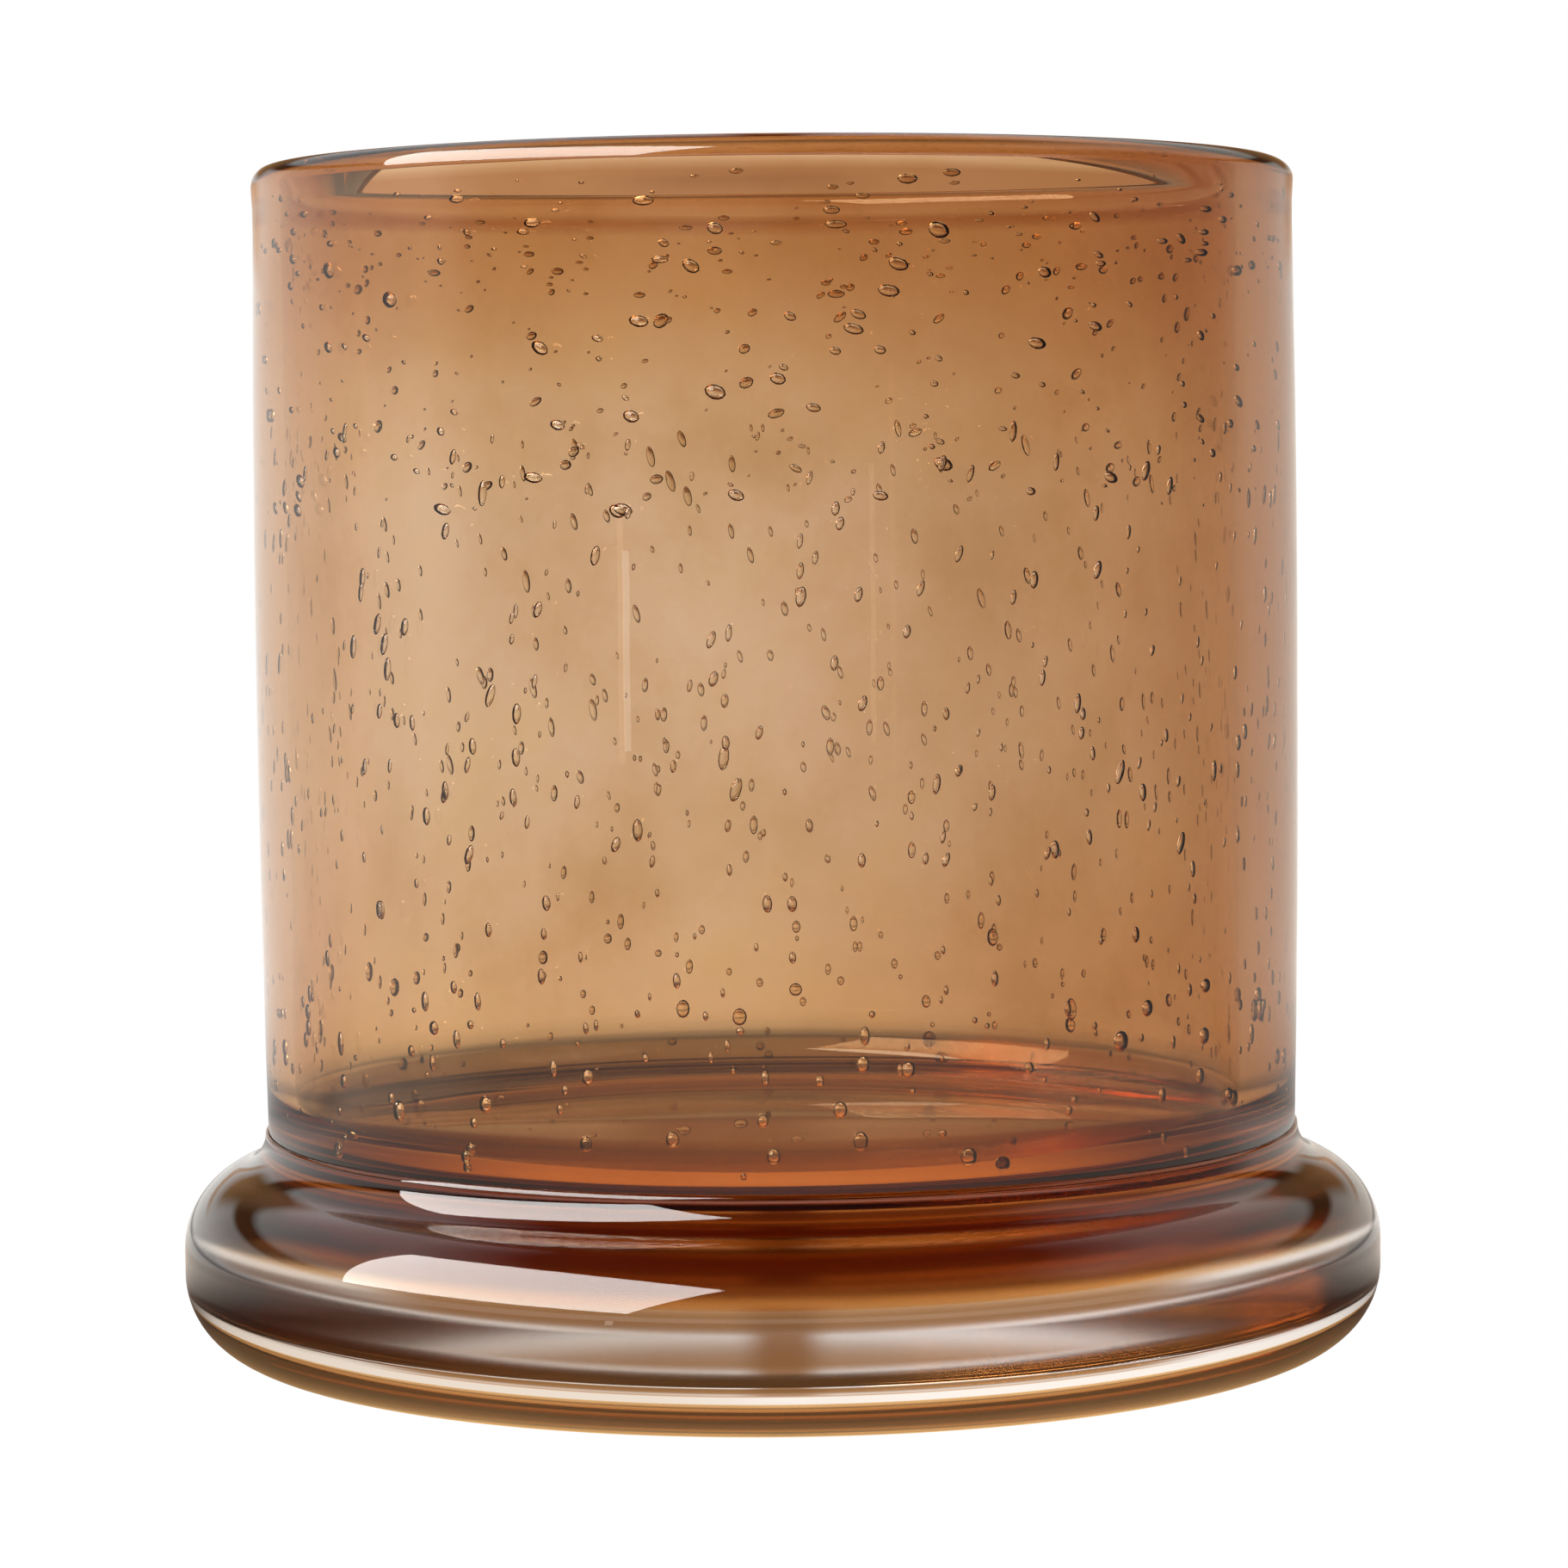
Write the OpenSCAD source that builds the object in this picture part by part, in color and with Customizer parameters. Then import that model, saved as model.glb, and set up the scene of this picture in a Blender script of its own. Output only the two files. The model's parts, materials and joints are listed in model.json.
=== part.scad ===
// Empty candle jar: an amber glass cup fused onto a thick clear glass foot.
// Millimetres, Z up. The table is z = 0 and the jar's outer axis is the Z axis.

/* [Foot] */
// Outer diameter of the foot
foot_d = 120; // [114:1:140]
// Height of the foot's flat top above the table
foot_h = 18.5; // [14:0.5:26]
// Height of the straight band in the middle of the foot's rounded edge
foot_band = 2.5; // [1:0.5:5]
// Radius of the hollow curve that runs from the foot up to the cup
collar_r = 4; // [1:0.25:5]
// Width of the flat lip at the top of that curve
collar_lip = 0.3; // [0.2:0.1:1]

/* [Cup] */
// Height of the rim above the table
jar_h = 117.5; // [70:0.5:160]
// Outer diameter of the cup at the two ends of its wall
cup_d = 103; // [98:0.5:106]
// Growth of the outer radius from the ends of the wall to its middle
barrel = 0.5; // [0.2:0.1:1]
// Inside diameter of the cup
bore_d = 95; // [84:0.5:96]
// How far the inside sits off the outer axis, towards +X
bore_shift = -1; // [-1.2:0.1:1.2]
// Height of the cup's base above the table, sunk into the foot
base_z = 10.5; // [9:0.5:12]
// Height of the middle of the cup's pushed-up bottom above its base
kick_h = 8; // [1:0.5:8]
// Height of the inside floor above the table
floor_z = 21.5; // [21:0.5:28]

/* [Edges] */
// Radius of the outer bottom edge of the cup
heel_r = 2.5; // [1.5:0.25:4]
// Radius of the inside corner between wall and floor
corner_r = 5; // [2:0.5:10]
// Radius of the outer edge of the fire-polished rim
rim_out_r = 1.5; // [0.8:0.1:1.6]
// Radius of the inner edge of the fire-polished rim
rim_in_r = 1.2; // [0.5:0.1:1.3]
// How far the rim swells outside the wall
rim_bead = 0.3; // [0:0.1:0.5]

/* [Hidden] */
$fn = 180;

amber = [0.75, 0.5, 0.27, 0.8];
clear_glass = [0.93, 0.95, 0.94, 0.6];

foot_r = foot_d / 2;
cup_r = cup_d / 2;
bore_r = bore_d / 2;

// The pushed-up bottom is a cap of a ball, inside a flat ring at the edge of the base
KICK_RING = 2;
kick_edge = cup_r - heel_r - KICK_RING;
kick_r = (pow(kick_edge, 2) + pow(kick_h, 2)) / (2 * kick_h);

// The foot's edge is round below and above its straight band
edge_r = (foot_h - foot_band) / 2;
edge_x = foot_r - edge_r;
edge_z = edge_r + foot_band;

// Centre of the collar's hollow curve, which runs smoothly into the foot's upper round
collar_x = cup_r + collar_lip + collar_r;
collar_z = edge_z + sqrt(pow(edge_r + collar_r, 2) - pow(collar_x - edge_x, 2));

// The wall is straight up to just above the foot, then swells evenly in this many short cones
WALL_STEPS = 8;
WALL_START = 2.5;
wall_z0 = foot_h + WALL_START;
wall_z1 = jar_h - rim_out_r;
wall_half = (wall_z1 - wall_z0) / 2;

// Outer radius of the wall at t, which runs from -1 at the foot to 1 at the rim
function wall_r(t) = cup_r + barrel * (1 - t * t);
wall_points = [for (i = [0:WALL_STEPS])
    let (t = 2 * i / WALL_STEPS - 1)
    [wall_r(t), wall_z0 + wall_half * (1 + t)]];

// Cutters run this far past the faces that they open
EPS = 1;

// Solid outline of the cup, as radius across and height up
module cup_outline() {
    difference() {
        translate([0, base_z])
            square([cup_r - heel_r, wall_z0 - base_z]);
        translate([0, base_z + kick_h - kick_r])
            circle(r = kick_r);
    }
    translate([cup_r - heel_r, base_z + heel_r])
        circle(r = heel_r);
    translate([cup_r - 2 * heel_r, base_z + heel_r])
        square([2 * heel_r, wall_z0 - base_z - heel_r]);
    polygon(concat([[0, wall_z0]], wall_points, [[0, wall_z1]]));
    translate([0, wall_z1])
        square([cup_r + rim_bead - rim_out_r, rim_out_r]);
    translate([cup_r + rim_bead - rim_out_r, wall_z1])
        circle(r = rim_out_r);
}

// Outline of the space inside the cup, with its mouth rounded outwards
module bore_outline() {
    mouth_z = jar_h - rim_in_r;
    translate([0, floor_z])
        square([bore_r - corner_r, corner_r]);
    intersection() {
        translate([bore_r - corner_r, floor_z + corner_r])
            circle(r = corner_r);
        translate([0, floor_z])
            square([bore_r, corner_r]);
    }
    translate([0, floor_z + corner_r])
        square([bore_r, jar_h + EPS - floor_z - corner_r]);
    difference() {
        translate([0, mouth_z])
            square([bore_r + rim_in_r, rim_in_r + EPS]);
        translate([bore_r + rim_in_r, mouth_z])
            circle(r = rim_in_r);
    }
}

// Outline of the foot: a flat disc with a round edge and the collar around the cup
module foot_outline() {
    square([edge_x, foot_h]);
    translate([0, edge_r])
        square([foot_r, foot_band]);
    for (z = [edge_r, edge_z])
        translate([edge_x, z])
            circle(r = edge_r);
    difference() {
        translate([cup_r - heel_r, edge_z])
            square([collar_x - cup_r + heel_r, collar_z - edge_z]);
        translate([collar_x, collar_z])
            circle(r = collar_r);
    }
}

module cup() {
    color(amber)
        difference() {
            rotate_extrude()
                cup_outline();
            translate([bore_shift, 0, 0])
                rotate_extrude()
                    bore_outline();
        }
}

module foot() {
    color(clear_glass)
        rotate_extrude()
            difference() {
                foot_outline();
                cup_outline();
            }
}

cup();
foot();
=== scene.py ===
"""Looks of the empty candle jar: a seeded amber glass cup fused onto a thick clear glass foot.

Every length is in metres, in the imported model's own frame: +Z up, the table at z = 0.
"""

import json
import math
import random

import bmesh
import bpy
import numpy as np
from mathutils import Euler, Matrix, Vector, noise


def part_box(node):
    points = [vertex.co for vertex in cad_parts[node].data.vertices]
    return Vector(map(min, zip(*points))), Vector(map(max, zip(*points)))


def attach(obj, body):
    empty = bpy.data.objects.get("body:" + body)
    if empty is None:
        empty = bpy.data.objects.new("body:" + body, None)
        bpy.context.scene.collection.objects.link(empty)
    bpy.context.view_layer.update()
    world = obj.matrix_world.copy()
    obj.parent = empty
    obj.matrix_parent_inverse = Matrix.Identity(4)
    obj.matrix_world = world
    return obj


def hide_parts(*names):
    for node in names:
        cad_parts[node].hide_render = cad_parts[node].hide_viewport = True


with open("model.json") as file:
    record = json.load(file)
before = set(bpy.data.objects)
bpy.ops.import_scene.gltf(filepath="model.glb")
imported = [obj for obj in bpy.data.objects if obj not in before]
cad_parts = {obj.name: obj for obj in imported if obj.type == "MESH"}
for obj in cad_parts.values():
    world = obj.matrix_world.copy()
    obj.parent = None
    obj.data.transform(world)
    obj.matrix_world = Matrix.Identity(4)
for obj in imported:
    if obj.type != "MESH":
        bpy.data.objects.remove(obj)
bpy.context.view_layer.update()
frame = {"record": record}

MM = 0.001

# ---------------------------------------------------------------- sizes

cup_low, cup_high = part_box("cup")
foot_low, foot_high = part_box("foot")
mounts = {m["name"]: m for m in frame["record"]["mounts"]}

BASE_Z = cup_low.z
RIM_Z = cup_high.z
WAIST_R = cup_high.x
WELL_R = mounts["candle_well"]["dims"]["r_mm"] * MM
WELL_X = mounts["candle_well"]["pos_m"][0]
FLOOR_Z = mounts["well_floor"]["pos_m"][2]
FOOT_R = foot_high.x
COLLAR_Z = foot_high.z

# Shape of the glass that the frame doesn't give
FOOT_TOP = 18.5 * MM
FOOT_BAND = 2.5 * MM
COLLAR_LIP = 0.3 * MM
COLLAR_R = 4.0 * MM
HEEL_R = 2.5 * MM
CORNER_R = 5.0 * MM
KICK_H = 8.0 * MM
KICK_RING = 2.0 * MM
WALL_START = FOOT_TOP + 2.5 * MM
WALL_SWELL = 0.5 * MM
RIM_SWELL = 0.3 * MM
RIM_SWELL_H = 3.0 * MM
RIM_ROUND = 2.0 * MM

# The foot's seat stands this far off the cup, so that the two never share a face
FUSED_GAP = 0.04 * MM

# Rings of the lathed meshes, and how far out each ring of a flat or domed face is
SEGMENTS = 192
WALL_RINGS = 44
ARC_RINGS = 10
KICK_STEPS = (0.12, 0.25, 0.37, 0.48, 0.58, 0.67, 0.75, 0.83, 0.9, 0.96, 1.0)
FLOOR_STEPS = (0.9, 0.75, 0.5, 0.25)

# Swells of the blown wall: how deep, how fast they change, and the part near the axis without any
BLOWN_DEPTH = 0.06 * MM
BLOWN_START = 3.0
BROAD_SWELLS = (1.6, 45)
FINE_SWELLS = (4.0, 170)
FINE_SHARE = 0.25
CALM_R = 5 * MM

# ---------------------------------------------------------------- profiles


def arc(cx, cz, radius, start, end, steps):
    """Points of an arc as (radius across, height), with angles in degrees from +X towards +Z."""
    angles = [math.radians(start + (end - start) * i / steps) for i in range(steps + 1)]
    return [(cx + radius * math.cos(a), cz + radius * math.sin(a)) for a in angles]


def outer_r(z):
    """Outer radius of the cup's wall at height z: a slight barrel with a bead at the rim."""
    low, high = WALL_START, RIM_Z - RIM_ROUND
    t = 2 * (z - low) / (high - low) - 1
    bead = math.exp(-(((RIM_Z - z) / RIM_SWELL_H) ** 2))
    return WAIST_R - WALL_SWELL * min(t * t, 1.0) + RIM_SWELL * bead


def kick_rings():
    """The cup's pushed-up bottom as (radius, height), from its middle out to its flat ring."""
    edge = outer_r(WALL_START) - HEEL_R - KICK_RING
    ball_r = (edge**2 + KICK_H**2) / (2 * KICK_H)
    middle_z = BASE_Z + KICK_H - ball_r
    return [(edge * f, middle_z + math.sqrt(ball_r**2 - (edge * f) ** 2)) for f in KICK_STEPS]


def rim_rings():
    """The rounded rim as (radius, height, sideways shift), from the outer wall over to the bore."""
    low = RIM_Z - RIM_ROUND
    rim_r = outer_r(low)
    rings = []
    for i in range(1, 2 * ARC_RINGS):
        a = math.pi * i / (2 * ARC_RINGS)
        across = (1 - math.cos(a)) / 2
        radius = rim_r + (WELL_R - rim_r) * across
        rings.append((radius, low + RIM_ROUND * math.sin(a), WELL_X * across))
    return rings


def cup_rings():
    """Rings of the cup as (radius, height, sideways shift), from its underside round to its floor."""
    base_r = outer_r(WALL_START) - HEEL_R
    wall_high = RIM_Z - RIM_ROUND
    inner_low = FLOOR_Z + CORNER_R
    rings = [(r, z, 0) for r, z in kick_rings()]
    rings += [(r, z, 0) for r, z in arc(base_r, BASE_Z + HEEL_R, HEEL_R, -90, 0, ARC_RINGS)]
    for i in range(WALL_RINGS + 1):
        z = COLLAR_Z + (wall_high - COLLAR_Z) * i / WALL_RINGS
        rings.append((outer_r(z), z, 0))
    rings += rim_rings()
    for i in range(WALL_RINGS + 1):
        rings.append((WELL_R, wall_high + (inner_low - wall_high) * i / WALL_RINGS, WELL_X))
    corner = arc(WELL_R - CORNER_R, inner_low, CORNER_R, 0, -90, ARC_RINGS)[1:]
    rings += [(r, z, WELL_X) for r, z in corner]
    rings += [((WELL_R - CORNER_R) * f, FLOOR_Z, WELL_X) for f in FLOOR_STEPS]
    return rings


def foot_rings():
    """Rings of the foot, and how many of them come before the fused face under the cup."""
    edge_r = (FOOT_TOP - FOOT_BAND) / 2
    edge_x = FOOT_R - edge_r
    edge_z = edge_r + FOOT_BAND
    cup_r = outer_r(WALL_START)
    collar_x = cup_r + COLLAR_LIP + COLLAR_R
    reach = edge_r + COLLAR_R
    collar_z = edge_z + math.sqrt(reach**2 - (collar_x - edge_x) ** 2)
    lean = math.degrees(math.asin((collar_x - edge_x) / reach))
    points = [(edge_x * f, 0.0) for f in reversed(FLOOR_STEPS)]
    points += arc(edge_x, edge_r, edge_r, -90, 0, 2 * ARC_RINGS)
    points += arc(edge_x, edge_z, edge_r, 0, 90 - lean, 2 * ARC_RINGS)
    points += arc(collar_x, collar_z, COLLAR_R, 270 - lean, 180, ARC_RINGS)[1:]
    seat = [(outer_r(collar_z) + FUSED_GAP, collar_z)]
    seat += arc(cup_r - HEEL_R, BASE_Z + HEEL_R, HEEL_R + FUSED_GAP, 0, -90, ARC_RINGS)
    seat += [(r, z - FUSED_GAP) for r, z in reversed(kick_rings())]
    return [(r, z, 0) for r, z in points + seat], len(points)


# ---------------------------------------------------------------- meshes


def lathe(rings):
    """Points and faces of a closed body turned from rings, whose first and last close on a centre point."""
    turn = np.arange(SEGMENTS) * 2 * math.pi / SEGMENTS
    around = np.stack([np.cos(turn), np.sin(turn)], axis=1)
    points = [(rings[0][2], 0, rings[0][1])]
    for radius, z, shift in rings:
        points += [(shift + radius * x, radius * y, z) for x, y in around]
    points.append((rings[-1][2], 0, rings[-1][1]))
    last = len(points) - 1
    faces = []
    for k in range(SEGMENTS):
        n = (k + 1) % SEGMENTS
        faces.append((0, 1 + n, 1 + k))
        for i in range(len(rings) - 1):
            a, b = 1 + i * SEGMENTS, 1 + (i + 1) * SEGMENTS
            faces.append((a + k, a + n, b + n, b + k))
        end = 1 + (len(rings) - 1) * SEGMENTS
        faces.append((end + k, end + n, last))
    return np.array(points, float), faces


def blown(points):
    """The points with the faint swells that hand-blown glass has, mostly in rings round the jar."""
    out = points.copy()
    for i, (x, y, z) in enumerate(points):
        radius = math.hypot(x, y)
        if radius < CALM_R:
            continue
        broad, fine = [
            noise.noise(Vector((x / radius * round_it, y / radius * round_it, z * up + BLOWN_START)))
            for round_it, up in (BROAD_SWELLS, FINE_SWELLS)
        ]
        swell = BLOWN_DEPTH * (broad + FINE_SHARE * fine)
        out[i, 0] += swell * x / radius
        out[i, 1] += swell * y / radius
    return out


def add_mesh(name, points, faces, material):
    """A new smooth-shaded object."""
    mesh = bpy.data.meshes.new(name)
    mesh.from_pydata([tuple(p) for p in points], [], faces)
    mesh.validate()
    mesh.materials.append(material)
    mesh.shade_smooth()
    piece = bpy.data.objects.new(name, mesh)
    bpy.context.scene.collection.objects.link(piece)
    return piece


def mark_faces(piece, name, is_marked):
    """Writes 1 in a face attribute where is_marked(face) holds, and 0 elsewhere."""
    mesh = piece.data
    mark = mesh.attributes.new(name, "FLOAT", "FACE")
    mark.data.foreach_set("value", [float(is_marked(f)) for f in mesh.polygons])


# ---------------------------------------------------------------- bubbles

BUBBLE_SEED = 7
# Kinds of seed bubble from rim to foot. Flatness is height over width, slant is in radians, and
# the sizes are half lengths along the wall in millimetres:
# (count, low z, high z, smallest, largest, flatness, slant)
BUBBLE_KINDS = (
    (220, RIM_Z - 12 * MM, RIM_Z - 3.2 * MM, 0.20, 1.05, 0.42, 0.0),
    (380, RIM_Z - 34 * MM, RIM_Z - 7 * MM, 0.20, 1.05, 0.62, -0.4),
    (460, RIM_Z - 66 * MM, RIM_Z - 26 * MM, 0.17, 0.50, 2.1, -0.25),
    (360, FOOT_TOP + 14 * MM, FOOT_TOP + 48 * MM, 0.16, 0.50, 1.9, 0.05),
    (200, FOOT_TOP + 4 * MM, FOOT_TOP + 20 * MM, 0.24, 0.90, 1.15, 0.0),
)
# Steps from one bubble to the next, as shares of the whole turn and of the band, which leave no
# bare patch, and how loosely the bubbles keep to them
SPREAD_ROUND = 0.7549
SPREAD_UP = 0.5698
SPREAD_LOOSE = 0.05
# Small bubbles are commoner than large ones, and outer ones commoner than inner ones
SMALL_BIAS = 1.15
OUTER_BIAS = 1.6
FLAT_SPREAD = (0.8, 1.25)
SLANT_SPREAD = (0.3, 1.5)
# A bubble's half size across the wall, as a share of its other half sizes and of the wall
BUBBLE_DEPTH = 0.42
BUBBLE_WALL = 0.36
# Glass left between a bubble and either face of the wall
BUBBLE_SKIN = 0.15 * MM
# A bubble longer than each of these takes a finer ball
FINER_FROM = (0.36 * MM, 1.1 * MM)


def ball(divisions):
    """Points and faces of a unit ball whose faces look inwards, as a void in glass does."""
    made = bpy.data.meshes.new("ball")
    bm = bmesh.new()
    bmesh.ops.create_icosphere(bm, subdivisions=divisions, radius=1.0)
    bmesh.ops.reverse_faces(bm, faces=bm.faces)
    bm.to_mesh(made)
    bm.free()
    points = np.array([v.co for v in made.vertices])
    faces = np.array([p.vertices for p in made.polygons])
    bpy.data.meshes.remove(made)
    return points, faces


def wall_at(turn, z):
    """Outer radius and thickness of the wall in direction turn at height z."""
    outside = outer_r(z)
    c, s = math.cos(turn), math.sin(turn)
    inside = WELL_X * c + math.sqrt(WELL_R**2 - (WELL_X * s) ** 2)
    return outside, outside - inside


def place_bubble(points, turn, z, half, slant, depth_share):
    """Ball points as a bubble of half sizes (across, along, up the wall), slanted in the wall's plane."""
    outside, wall = wall_at(turn, z)
    half_across = min(half[0], BUBBLE_WALL * wall)
    room = wall - 2 * half_across - 2 * BUBBLE_SKIN
    depth = half_across + BUBBLE_SKIN + max(room, 0) * depth_share
    radial = np.array([math.cos(turn), math.sin(turn), 0])
    along = np.array([-math.sin(turn), math.cos(turn), 0])
    up = np.array([0, 0, 1.0])
    c, s = math.cos(slant), math.sin(slant)
    axes = np.stack([
        radial * half_across,
        (along * c + up * s) * half[1],
        (up * c - along * s) * half[2],
    ])
    return points @ axes + radial * (outside - depth) + up * z


def seeded(points, faces):
    """The cup with a void for every seed bubble in its wall."""
    draw = random.Random(BUBBLE_SEED)
    balls = (ball(1), ball(2), ball(3))
    point_sets, face_sets = [points], []
    offset = len(points)
    for count, low, high, smallest, largest, flat, slant in BUBBLE_KINDS:
        for i in range(count):
            size = smallest * (largest / smallest) ** (draw.random() ** SMALL_BIAS) * MM
            up = size * flat * draw.uniform(*FLAT_SPREAD)
            ball_points, ball_faces = balls[sum(max(size, up) > limit for limit in FINER_FROM)]
            half = (BUBBLE_DEPTH * min(size, up), size, up)
            turn = 2 * math.pi * (i * SPREAD_ROUND + draw.uniform(0, SPREAD_LOOSE))
            z = low + (high - low) * ((i * SPREAD_UP + draw.uniform(0, SPREAD_LOOSE)) % 1)
            lean = slant * draw.uniform(*SLANT_SPREAD)
            placed = place_bubble(ball_points, turn, z, half, lean, draw.random() ** OUTER_BIAS)
            point_sets.append(placed)
            face_sets.append(ball_faces + offset)
            offset += len(placed)
    for group in face_sets:
        faces.extend(tuple(int(i) for i in f) for f in group)
    return np.concatenate(point_sets), faces


# ---------------------------------------------------------------- shader helpers


def new_material(name):
    """A new material with an empty tree, and its output."""
    material = bpy.data.materials.new(name)
    material.use_nodes = True
    tree = material.node_tree
    tree.nodes.clear()
    return material, tree, tree.nodes.new("ShaderNodeOutputMaterial")


def node(tree, kind, **settings):
    """A new node of a kind, with its settings made."""
    made = tree.nodes.new(kind)
    for name, value in settings.items():
        setattr(made, name, value)
    return made


def plug(tree, value, socket):
    """Links a socket, or sets a plain value, into another socket."""
    if isinstance(value, bpy.types.NodeSocket):
        tree.links.new(value, socket)
    else:
        socket.default_value = value


def number(tree, operation, *values):
    """A sum worked out on numbers."""
    made = node(tree, "ShaderNodeMath", operation=operation)
    for value, socket in zip(values, made.inputs):
        plug(tree, value, socket)
    return made.outputs[0]


def vector(tree, operation, *values):
    """A sum worked out on vectors. The result of LENGTH is the "Value" output."""
    made = node(tree, "ShaderNodeVectorMath", operation=operation)
    for value, socket in zip(values, made.inputs):
        plug(tree, value, socket)
    return made.outputs["Value" if operation == "LENGTH" else "Vector"]


def axes_of(tree, place):
    """A vector split into its x, y and z."""
    split = node(tree, "ShaderNodeSeparateXYZ")
    plug(tree, place, split.inputs[0])
    return [split.outputs[axis] for axis in "XYZ"]


def share_between(tree, value, low, high, **settings):
    """How far value is on its way from low to high, from 0 to 1."""
    made = node(tree, "ShaderNodeMapRange", **settings)
    made.inputs["From Min"].default_value = low
    made.inputs["From Max"].default_value = high
    plug(tree, value, made.inputs["Value"])
    return made.outputs[0]


def colour_ramp(tree, value, low, high, stops):
    """A colour that follows a value which runs from low to high, from stops of (value, colour)."""
    ramp = node(tree, "ShaderNodeValToRGB")
    marks = ramp.color_ramp.elements
    while len(marks) < len(stops):
        marks.new(0.5)
    for mark, (at, colour) in zip(marks, stops):
        mark.position = (at - low) / (high - low)
        mark.color = (*colour, 1)
    plug(tree, share_between(tree, value, low, high), ramp.inputs[0])
    return ramp.outputs[0]


def blended(tree, share, first, second, **settings):
    """Two colours mixed by share."""
    made = node(tree, "ShaderNodeMix", data_type="RGBA", **settings)
    plug(tree, share, made.inputs["Factor"])
    plug(tree, first, made.inputs["A"])
    plug(tree, second, made.inputs["B"])
    return made.outputs["Result"]


def multiplied(tree, first, second):
    """Two colours multiplied."""
    return blended(tree, 1.0, first, second, blend_type="MULTIPLY")


def crossfade(tree, value, low, high, below, above):
    """The colour below where value is under low, and above where it is over high."""
    share = share_between(tree, value, low, high, interpolation_type="SMOOTHSTEP")
    return blended(tree, share, below, above)


# ---------------------------------------------------------------- glass

GLASS_IOR = 1.5
# What a metre of glass takes up is (1 - colour) * density
AMBER_DEPTH = (0.675, 0.36, 0.0)
AMBER_DENSITY = 158.0
CLEAR_DEPTH = (0.75, 0.55, 0.4)
CLEAR_DENSITY = 2.0
GROUND_ROUGHNESS = 0.12
WHITE = (1, 1, 1, 1)

# The amber is deeper in colour towards the rim, the floor and both sides; near the top this deepening is
# painted shade
TINT_AND_TOP_SHADE_BY_HEIGHT = (
    (BASE_Z, (1.00, 0.86, 0.62)),
    (FLOOR_Z, (1.00, 0.86, 0.58)),
    (30 * MM, (0.97, 0.88, 0.74)),
    (41 * MM, (0.98, 0.93, 0.86)),
    (56 * MM, (1.00, 1.00, 1.00)),
    (84 * MM, (1.00, 1.00, 1.00)),
    (95 * MM, (0.96, 0.91, 0.83)),
    (106 * MM, (0.87, 0.73, 0.56)),
    (114 * MM, (0.84, 0.68, 0.50)),
    (RIM_Z, (0.74, 0.44, 0.22)),
)
TINT_BY_SIDE = (
    (0.0, (1.00, 1.00, 1.00)),
    (0.74 * WAIST_R, (1.00, 1.00, 1.00)),
    (0.95 * WAIST_R, (0.93, 0.86, 0.78)),
    (WAIST_R, (0.95, 0.90, 0.84)),
)

# Clouds in the amber, by the value of a noise
CLOUD_NOISE = {"Scale": 42.0, "Detail": 5.0, "Roughness": 0.62}
MOTTLES = (
    (0.00, (0.86, 0.78, 0.66)),
    (0.36, (0.90, 0.85, 0.74)),
    (0.45, (0.97, 0.94, 0.88)),
    (0.52, (1.00, 1.00, 1.00)),
    (0.62, (1.00, 0.99, 0.90)),
    (1.00, (1.00, 0.98, 0.82)),
)

# Painted shade as a dark line round the well's bottom corner, with a painted orange glint on the right: its
# strength by height, and its hue by x
CORNER_LOW = FLOOR_Z - MM
CORNER_HIGH = FLOOR_Z + 6 * MM
CORNER_SHADE_LINE = (
    (CORNER_LOW, (0.0, 0.0, 0.0)),
    (FLOOR_Z + 0.3 * MM, (0.2, 0.2, 0.2)),
    (FLOOR_Z + 1.0 * MM, (1.0, 1.0, 1.0)),
    (FLOOR_Z + 4.0 * MM, (1.0, 1.0, 1.0)),
    (FLOOR_Z + 5.2 * MM, (0.1, 0.1, 0.1)),
    (CORNER_HIGH, (0.0, 0.0, 0.0)),
)
# Hues of the painted shade line, with a painted orange glint at about half the well's radius on the right
CORNER_SHADE_HUES = (
    (-WELL_R, (0.10, 0.07, 0.04)),
    (-0.5 * WELL_R, (0.13, 0.09, 0.05)),
    (0.0, (0.16, 0.11, 0.06)),
    (0.40 * WELL_R, (0.22, 0.12, 0.06)),
    (0.52 * WELL_R, (0.85, 0.26, 0.07)),
    (0.72 * WELL_R, (0.30, 0.15, 0.06)),
    (WELL_R, (0.12, 0.07, 0.04)),
)
# Radius by which the painted shade line has begun and is full, and past which the outside of the cup starts
CORNER_FROM = WELL_R - CORNER_R - MM
CORNER_FULL = WELL_R - CORNER_R + 2 * MM
CORNER_OUTSIDE = WELL_R + 1.6 * MM


def glass(name, absorb_colour, absorb_density):
    """Glass that takes up light by its depth, and bends none where its faces are marked fused."""
    material, tree, out = new_material(name)
    shader = node(tree, "ShaderNodeBsdfPrincipled")
    shader.inputs["Transmission Weight"].default_value = 1.0
    shader.inputs["Roughness"].default_value = 0.0
    shader.inputs["Base Color"].default_value = WHITE
    fused = node(tree, "ShaderNodeAttribute", attribute_name="fused").outputs["Fac"]
    plug(tree, number(tree, "MULTIPLY_ADD", fused, 1.0 - GLASS_IOR, GLASS_IOR), shader.inputs["IOR"])
    depth = node(tree, "ShaderNodeVolumeAbsorption")
    depth.inputs["Color"].default_value = (*absorb_colour, 1)
    depth.inputs["Density"].default_value = absorb_density
    plug(tree, shader.outputs[0], out.inputs["Surface"])
    plug(tree, depth.outputs[0], out.inputs["Volume"])
    return material, tree, shader


def tint_and_top_shade(tree, x, z):
    """Deeper colour towards the rim, the floor and both sides, which near the top is painted shade."""
    up = colour_ramp(tree, z, BASE_Z, RIM_Z, TINT_AND_TOP_SHADE_BY_HEIGHT)
    aside = colour_ramp(tree, number(tree, "ABSOLUTE", x), 0, WAIST_R, TINT_BY_SIDE)
    return multiplied(tree, up, aside)


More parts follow.
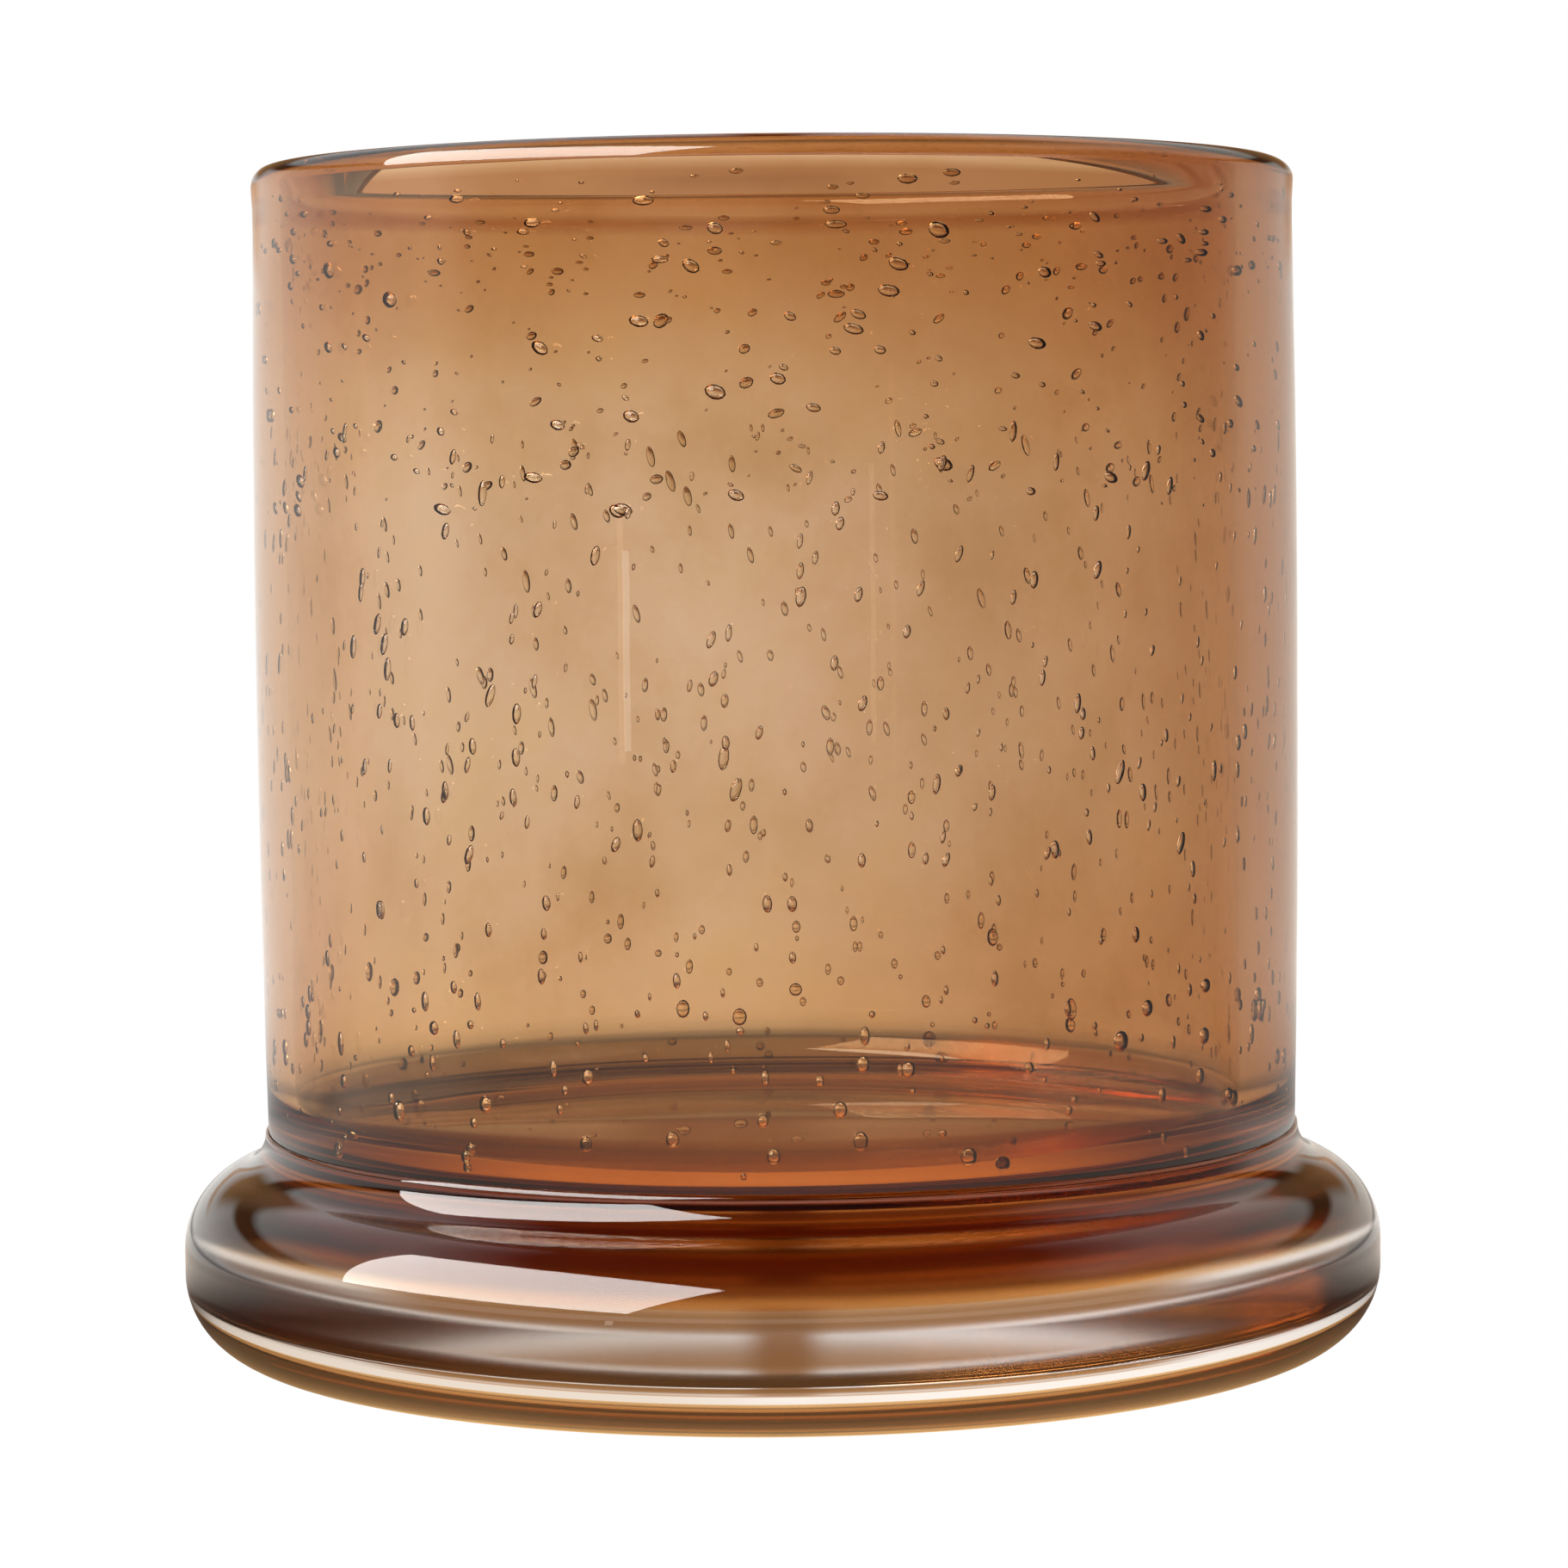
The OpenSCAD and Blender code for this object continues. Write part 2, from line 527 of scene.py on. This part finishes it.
def mottled_tint(tree, place):
    """Faint olive and rose clouds in the amber."""
    clouds = node(tree, "ShaderNodeTexNoise")
    for name, value in CLOUD_NOISE.items():
        clouds.inputs[name].default_value = value
    plug(tree, place, clouds.inputs["Vector"])
    return colour_ramp(tree, clouds.outputs["Fac"], 0, 1, MOTTLES)


def corner_shade_and_glint(tree, place, x, z):
    """Painted shade as a dark line round the well's bottom corner, with a painted orange glint on the
    right.
    """
    height = colour_ramp(tree, z, CORNER_LOW, CORNER_HIGH, CORNER_SHADE_LINE)
    hue = colour_ramp(tree, x, -WELL_R, WELL_R, CORNER_SHADE_HUES)
    radius = vector(tree, "LENGTH", vector(tree, "MULTIPLY", place, (1, 1, 0)))
    begun = share_between(tree, radius, CORNER_FROM, CORNER_FULL, interpolation_type="SMOOTHSTEP")
    inside = number(tree, "LESS_THAN", radius, CORNER_OUTSIDE)
    share = number(tree, "MULTIPLY", number(tree, "MULTIPLY", begun, inside), height)
    return blended(tree, share, WHITE, hue)


def amber_glass():
    """Amber glass whose colour clouds as in a blown gather and deepens towards the rim, floor and sides,
    with painted shade near the top and a painted shade line and glint round the well's bottom corner.
    """
    material, tree, shader = glass("amber_glass", AMBER_DEPTH, AMBER_DENSITY)
    place = node(tree, "ShaderNodeTexCoord").outputs["Object"]
    x, _, z = axes_of(tree, place)
    # The tint carries painted shade near the top and round the well's bottom corner
    tint = multiplied(tree, tint_and_top_shade(tree, x, z), mottled_tint(tree, place))
    tint = multiplied(tree, tint, corner_shade_and_glint(tree, place, x, z))
    plug(tree, tint, shader.inputs["Base Color"])
    return material


def clear_glass():
    """Clear glass, a little dull where its faces are marked ground."""
    material, tree, shader = glass("clear_glass", CLEAR_DEPTH, CLEAR_DENSITY)
    ground = node(tree, "ShaderNodeAttribute", attribute_name="ground").outputs["Fac"]
    plug(tree, number(tree, "MULTIPLY_ADD", ground, GROUND_ROUGHNESS, 0.0), shader.inputs["Roughness"])
    return material


# ---------------------------------------------------------------- pieces

# Slack for telling faces of the mesh apart by where their middles are
FUSED_TOP = FOOT_TOP + 0.1 * MM
HEEL_FROM = WELL_R + MM
GROUND_Z = 0.01 * MM


def is_fused_cup_face(face):
    """True on the cup's base, and on its outside below the top of the collar."""
    x, y, z = face.center
    return z < FUSED_TOP or (z < COLLAR_Z and math.hypot(x, y) > HEEL_FROM)


def make_cup():
    """The amber cup with its seed bubbles."""
    points, faces = lathe(cup_rings())
    points, faces = seeded(blown(points), faces)
    piece = add_mesh("cup_glass", points, faces, amber_glass())
    mark_faces(piece, "fused", is_fused_cup_face)
    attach(piece, "root")
    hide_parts("cup")


def make_foot():
    """The clear foot, whose seat is fused to the cup and whose underside is ground."""
    rings, open_rings = foot_rings()
    points, faces = lathe(rings)
    piece = add_mesh("foot_glass", points, faces, clear_glass())
    first_fused = 1 + open_rings * SEGMENTS
    mark_faces(piece, "fused", lambda face: min(face.vertices) >= first_fused)
    mark_faces(piece, "ground", lambda face: face.center.z < GROUND_Z)
    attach(piece, "root")
    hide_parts("foot")


# ---------------------------------------------------------------- studio

CAMERA_DISTANCE = 0.4905
CAMERA_HEIGHT = 0.0881
CAMERA_PITCH = 3.77
CAMERA_ROLL = -0.6
CAMERA_PAN = -0.07
CAMERA_LENS = 112.27
SENSOR_WIDTH = 36.0
CLIP = (0.01, 50.0)

STUDIO_LIGHT = 1.15
DOME_R = 3.0
DOME_DIVISIONS = 6

# Colours of the dome by the sine of the height angle. Straight behind the jar is a gap between
# two white walls, which stand beside it and turn duller further out
BEHIND = (
    (-1.0, (1.00, 1.00, 1.00)),
    (0.000, (1.00, 1.00, 1.00)),
    (0.040, (0.95, 0.92, 0.88)),
    (0.051, (0.64, 0.44, 0.31)),
    (0.080, (0.42, 0.26, 0.17)),
    (0.130, (0.38, 0.23, 0.15)),
    (0.160, (0.26, 0.13, 0.05)),
    (0.280, (0.22, 0.10, 0.04)),
    (0.360, (0.33, 0.18, 0.10)),
    (0.520, (0.44, 0.26, 0.16)),
    (0.800, (0.02, 0.02, 0.02)),
    (1.000, (0.01, 0.01, 0.01)),
)
BESIDE = (
    (-1.0, (1.00, 1.00, 1.00)),
    (0.040, (0.95, 0.92, 0.88)),
    (0.051, (0.66, 0.46, 0.33)),
    (0.072, (0.66, 0.46, 0.33)),
    (0.084, (0.76, 0.70, 0.65)),
    (0.110, (0.60, 0.50, 0.44)),
    (0.140, (0.38, 0.21, 0.10)),
    (0.230, (0.30, 0.15, 0.06)),
    (0.320, (0.32, 0.18, 0.10)),
    (0.390, (0.94, 0.91, 0.88)),
    (0.440, (1.00, 1.00, 1.00)),
    (0.740, (1.00, 1.00, 1.00)),
    (0.860, (0.05, 0.05, 0.05)),
    (1.000, (0.01, 0.01, 0.01)),
)
WIDE = (
    (-1.0, (1.00, 1.00, 1.00)),
    (0.050, (0.93, 0.90, 0.86)),
    (0.150, (0.80, 0.76, 0.72)),
    (0.210, (0.72, 0.68, 0.64)),
    (0.240, (0.16, 0.07, 0.03)),
    (0.300, (0.16, 0.07, 0.03)),
    (0.340, (0.80, 0.78, 0.76)),
    (0.700, (0.90, 0.90, 0.90)),
    (0.860, (0.05, 0.05, 0.05)),
    (1.000, (0.01, 0.01, 0.01)),
)
TO_THE_RIGHT = (
    (-1.0, (0.30, 0.29, 0.28)),
    (0.200, (0.25, 0.24, 0.23)),
    (0.600, (0.10, 0.10, 0.10)),
    (1.000, (0.01, 0.01, 0.01)),
)
IN_FRONT = (
    (-1.0, (0.60, 0.58, 0.55)),
    (-0.05, (0.40, 0.38, 0.36)),
    (0.020, (0.14, 0.14, 0.14)),
    (0.095, (0.12, 0.12, 0.12)),
    (0.110, (1.00, 1.00, 1.00)),
    (0.200, (1.00, 1.00, 1.00)),
    (0.240, (0.06, 0.06, 0.06)),
    (1.000, (0.01, 0.01, 0.01)),
)
# Where one of these fades into the next: the first two by the size of x, then by x and by y,
# all on a dome of radius 1
FADE_BESIDE = (0.01, 0.045)
FADE_WIDE = (0.3, 0.45)
FADE_RIGHT = (0.72, 0.9)
FADE_BEHIND = (-0.35, 0.0)

# The light behind the jar is a little warmer and dimmer to the right
SIDE_REACH = 0.11
SIDE_LIGHT = (
    (-SIDE_REACH, (1.00, 1.00, 1.00)),
    (0.0, (0.94, 0.92, 0.90)),
    (SIDE_REACH, (0.84, 0.79, 0.73)),
)

# Colours of the table, which are painted amber light under the jar and painted shadow round and behind it,
# by distance from a point just behind the jar, behind and in front of a band in y, and the distances over
# which the table fades out
TABLE_SIZE = 1.2
TABLE_SHADE_CENTRE = (0, 0.045, 0)
TABLE_REACH = 0.5
# Behind: painted amber light under the jar, a painted contact shadow ring, then painted shade fading out
TABLE_LIGHT_AND_SHADE_BEHIND = (
    (0.000, (1.15, 0.74, 0.32)),
    (0.028, (1.05, 0.66, 0.28)),
    (0.050, (0.48, 0.28, 0.12)),
    (0.075, (0.14, 0.08, 0.05)),
    (0.095, (0.14, 0.10, 0.08)),
    (0.120, (0.70, 0.62, 0.54)),
    (0.220, (0.75, 0.68, 0.60)),
    (0.500, (0.90, 0.85, 0.80)),
)
# In front: painted amber light under the foot, then painted shade further out
TABLE_LIGHT_AND_SHADE_IN_FRONT = (
    (0.000, (0.50, 0.28, 0.12)),
    (0.050, (0.40, 0.23, 0.10)),
    (0.115, (0.60, 0.45, 0.35)),
    (0.155, (0.85, 0.80, 0.74)),
    (0.205, (0.80, 0.75, 0.70)),
    (0.230, (0.10, 0.10, 0.10)),
    (0.500, (0.10, 0.10, 0.10)),
)
TABLE_TURN = (-0.07, -0.03)
TABLE_FADE = (0.11, 0.42)

# The lamps and the white floor: (name, width, height, place, aim, colour, strength)
STRIP_LIGHT = ("strip_light", 0.016, 0.055, (-0.33, -0.56, 0.052), (-0.014, -0.05, 0.07),
               (1, 0.99, 0.96), 2.5)
SOFT_BOX = ("soft_box", 1.25, 0.75, (-0.70, -0.41, 0.65), (0, 0, RIM_Z / 2), (1, 0.98, 0.95), 12.0)
FLOOR = ("floor", 12, 12, (0, 0, -0.2 * MM), (0, 0, 1), (1, 1, 1), 1.0)


def card(name, width, height, place, aim, material):
    """A flat card that faces aim, and which only the glass sees."""
    mesh = bpy.data.meshes.new(name)
    w, h = width / 2, height / 2
    mesh.from_pydata([(-w, -h, 0), (w, -h, 0), (w, h, 0), (-w, h, 0)], [], [(0, 1, 2, 3)])
    mesh.materials.append(material)
    piece = bpy.data.objects.new(name, mesh)
    bpy.context.scene.collection.objects.link(piece)
    piece.location = place
    piece.rotation_euler = (Vector(aim) - Vector(place)).to_track_quat("Z", "Y").to_euler()
    piece.visible_camera = False
    return piece


def glowing_card(name, width, height, place, aim, colour, strength):
    """A card that glows evenly."""
    material, tree, out = new_material(name)
    light = node(tree, "ShaderNodeEmission")
    light.inputs["Color"].default_value = (*colour, 1)
    light.inputs["Strength"].default_value = strength
    plug(tree, light.outputs[0], out.inputs["Surface"])
    return card(name, width, height, place, aim, material)


def painted_glow(tree, colour):
    """Emission of a colour at the studio's strength."""
    light = node(tree, "ShaderNodeEmission")
    light.inputs["Strength"].default_value = STUDIO_LIGHT
    plug(tree, colour, light.inputs["Color"])
    return light.outputs[0]


def make_dome():
    """The studio round the jar, which only the glass sees."""
    material, tree, out = new_material("studio_dome")
    place = node(tree, "ShaderNodeTexCoord").outputs["Object"]
    x, y, z = axes_of(tree, vector(tree, "NORMALIZE", place))
    behind, beside, wide, right, front = (
        colour_ramp(tree, z, -1, 1, stops) for stops in (BEHIND, BESIDE, WIDE, TO_THE_RIGHT, IN_FRONT)
    )
    aside = number(tree, "ABSOLUTE", x)
    back = crossfade(tree, aside, *FADE_BESIDE, behind, beside)
    back = crossfade(tree, aside, *FADE_WIDE, back, wide)
    back = multiplied(tree, back, colour_ramp(tree, x, -SIDE_REACH, SIDE_REACH, SIDE_LIGHT))
    back = crossfade(tree, x, *FADE_RIGHT, back, right)
    colour = crossfade(tree, y, *FADE_BEHIND, front, back)
    plug(tree, painted_glow(tree, colour), out.inputs["Surface"])
    points, faces = ball(DOME_DIVISIONS)
    dome = add_mesh("studio_dome", points * DOME_R, faces.tolist(), material)
    dome.location = (0, -CAMERA_DISTANCE, CAMERA_HEIGHT)
    dome.visible_camera = False


def make_painted_table():
    """The table close round the jar, painted with amber light under it and shadow round and behind it,
    which only the glass sees and which fades out further away.
    """
    material, tree, out = new_material("near_table")
    place = node(tree, "ShaderNodeTexCoord").outputs["Object"]
    far = vector(tree, "LENGTH", vector(tree, "SUBTRACT", place, TABLE_SHADE_CENTRE))
    front, back = (
        colour_ramp(tree, far, 0, TABLE_REACH, stops) for stops in (TABLE_LIGHT_AND_SHADE_IN_FRONT, TABLE_LIGHT_AND_SHADE_BEHIND)
    )
    _, y, _ = axes_of(tree, place)
    colour = crossfade(tree, y, *TABLE_TURN, front, back)
    mix = node(tree, "ShaderNodeMixShader")
    plug(tree, share_between(tree, far, *TABLE_FADE, interpolation_type="SMOOTHSTEP"), mix.inputs["Fac"])
    plug(tree, painted_glow(tree, colour), mix.inputs[1])
    plug(tree, node(tree, "ShaderNodeBsdfTransparent").outputs[0], mix.inputs[2])
    plug(tree, mix.outputs[0], out.inputs["Surface"])
    card("near_table", TABLE_SIZE, TABLE_SIZE, (0, 0, -0.1 * MM), (0, 0, 1), material)


def make_floor():
    """The plain white floor, which only the camera sees."""
    floor = glowing_card(*FLOOR)
    floor.visible_camera = True
    floor.visible_transmission = False
    floor.visible_glossy = False


def make_stage():
    """The plain white background, the floor, what the glass sees, and the lamps."""
    world = bpy.data.worlds.new("studio")
    bpy.context.scene.world = world
    world.use_nodes = True
    sky = world.node_tree.nodes["Background"]
    sky.inputs["Color"].default_value = WHITE
    sky.inputs["Strength"].default_value = 1.0
    make_floor()
    make_dome()
    make_painted_table()
    glowing_card(*STRIP_LIGHT)
    glowing_card(*SOFT_BOX)


def make_camera():
    """The camera at the height, distance and angle that the jar is looked at from."""
    data = bpy.data.cameras.new("camera")
    data.lens = CAMERA_LENS
    data.sensor_width = SENSOR_WIDTH
    data.clip_start, data.clip_end = CLIP
    camera = bpy.data.objects.new("camera", data)
    bpy.context.scene.collection.objects.link(camera)
    aim = Euler((math.radians(90 - CAMERA_PITCH), 0, math.radians(CAMERA_PAN)), "XYZ").to_matrix()
    roll = Matrix.Rotation(math.radians(CAMERA_ROLL), 3, "Z")
    camera.matrix_world = (aim @ roll).to_4x4()
    camera.location = (0, -CAMERA_DISTANCE, CAMERA_HEIGHT)
    bpy.context.scene.camera = camera


def set_light_paths():
    """Enough bounces for light to come through both walls and the foot."""
    scene = bpy.context.scene
    scene.view_settings.view_transform = "Standard"
    scene.cycles.use_denoising = True
    scene.cycles.max_bounces = 40
    scene.cycles.transmission_bounces = 40
    scene.cycles.glossy_bounces = 16
    scene.cycles.diffuse_bounces = 2
    scene.cycles.transparent_max_bounces = 16


make_camera()
make_cup()
make_foot()
make_stage()
set_light_paths()
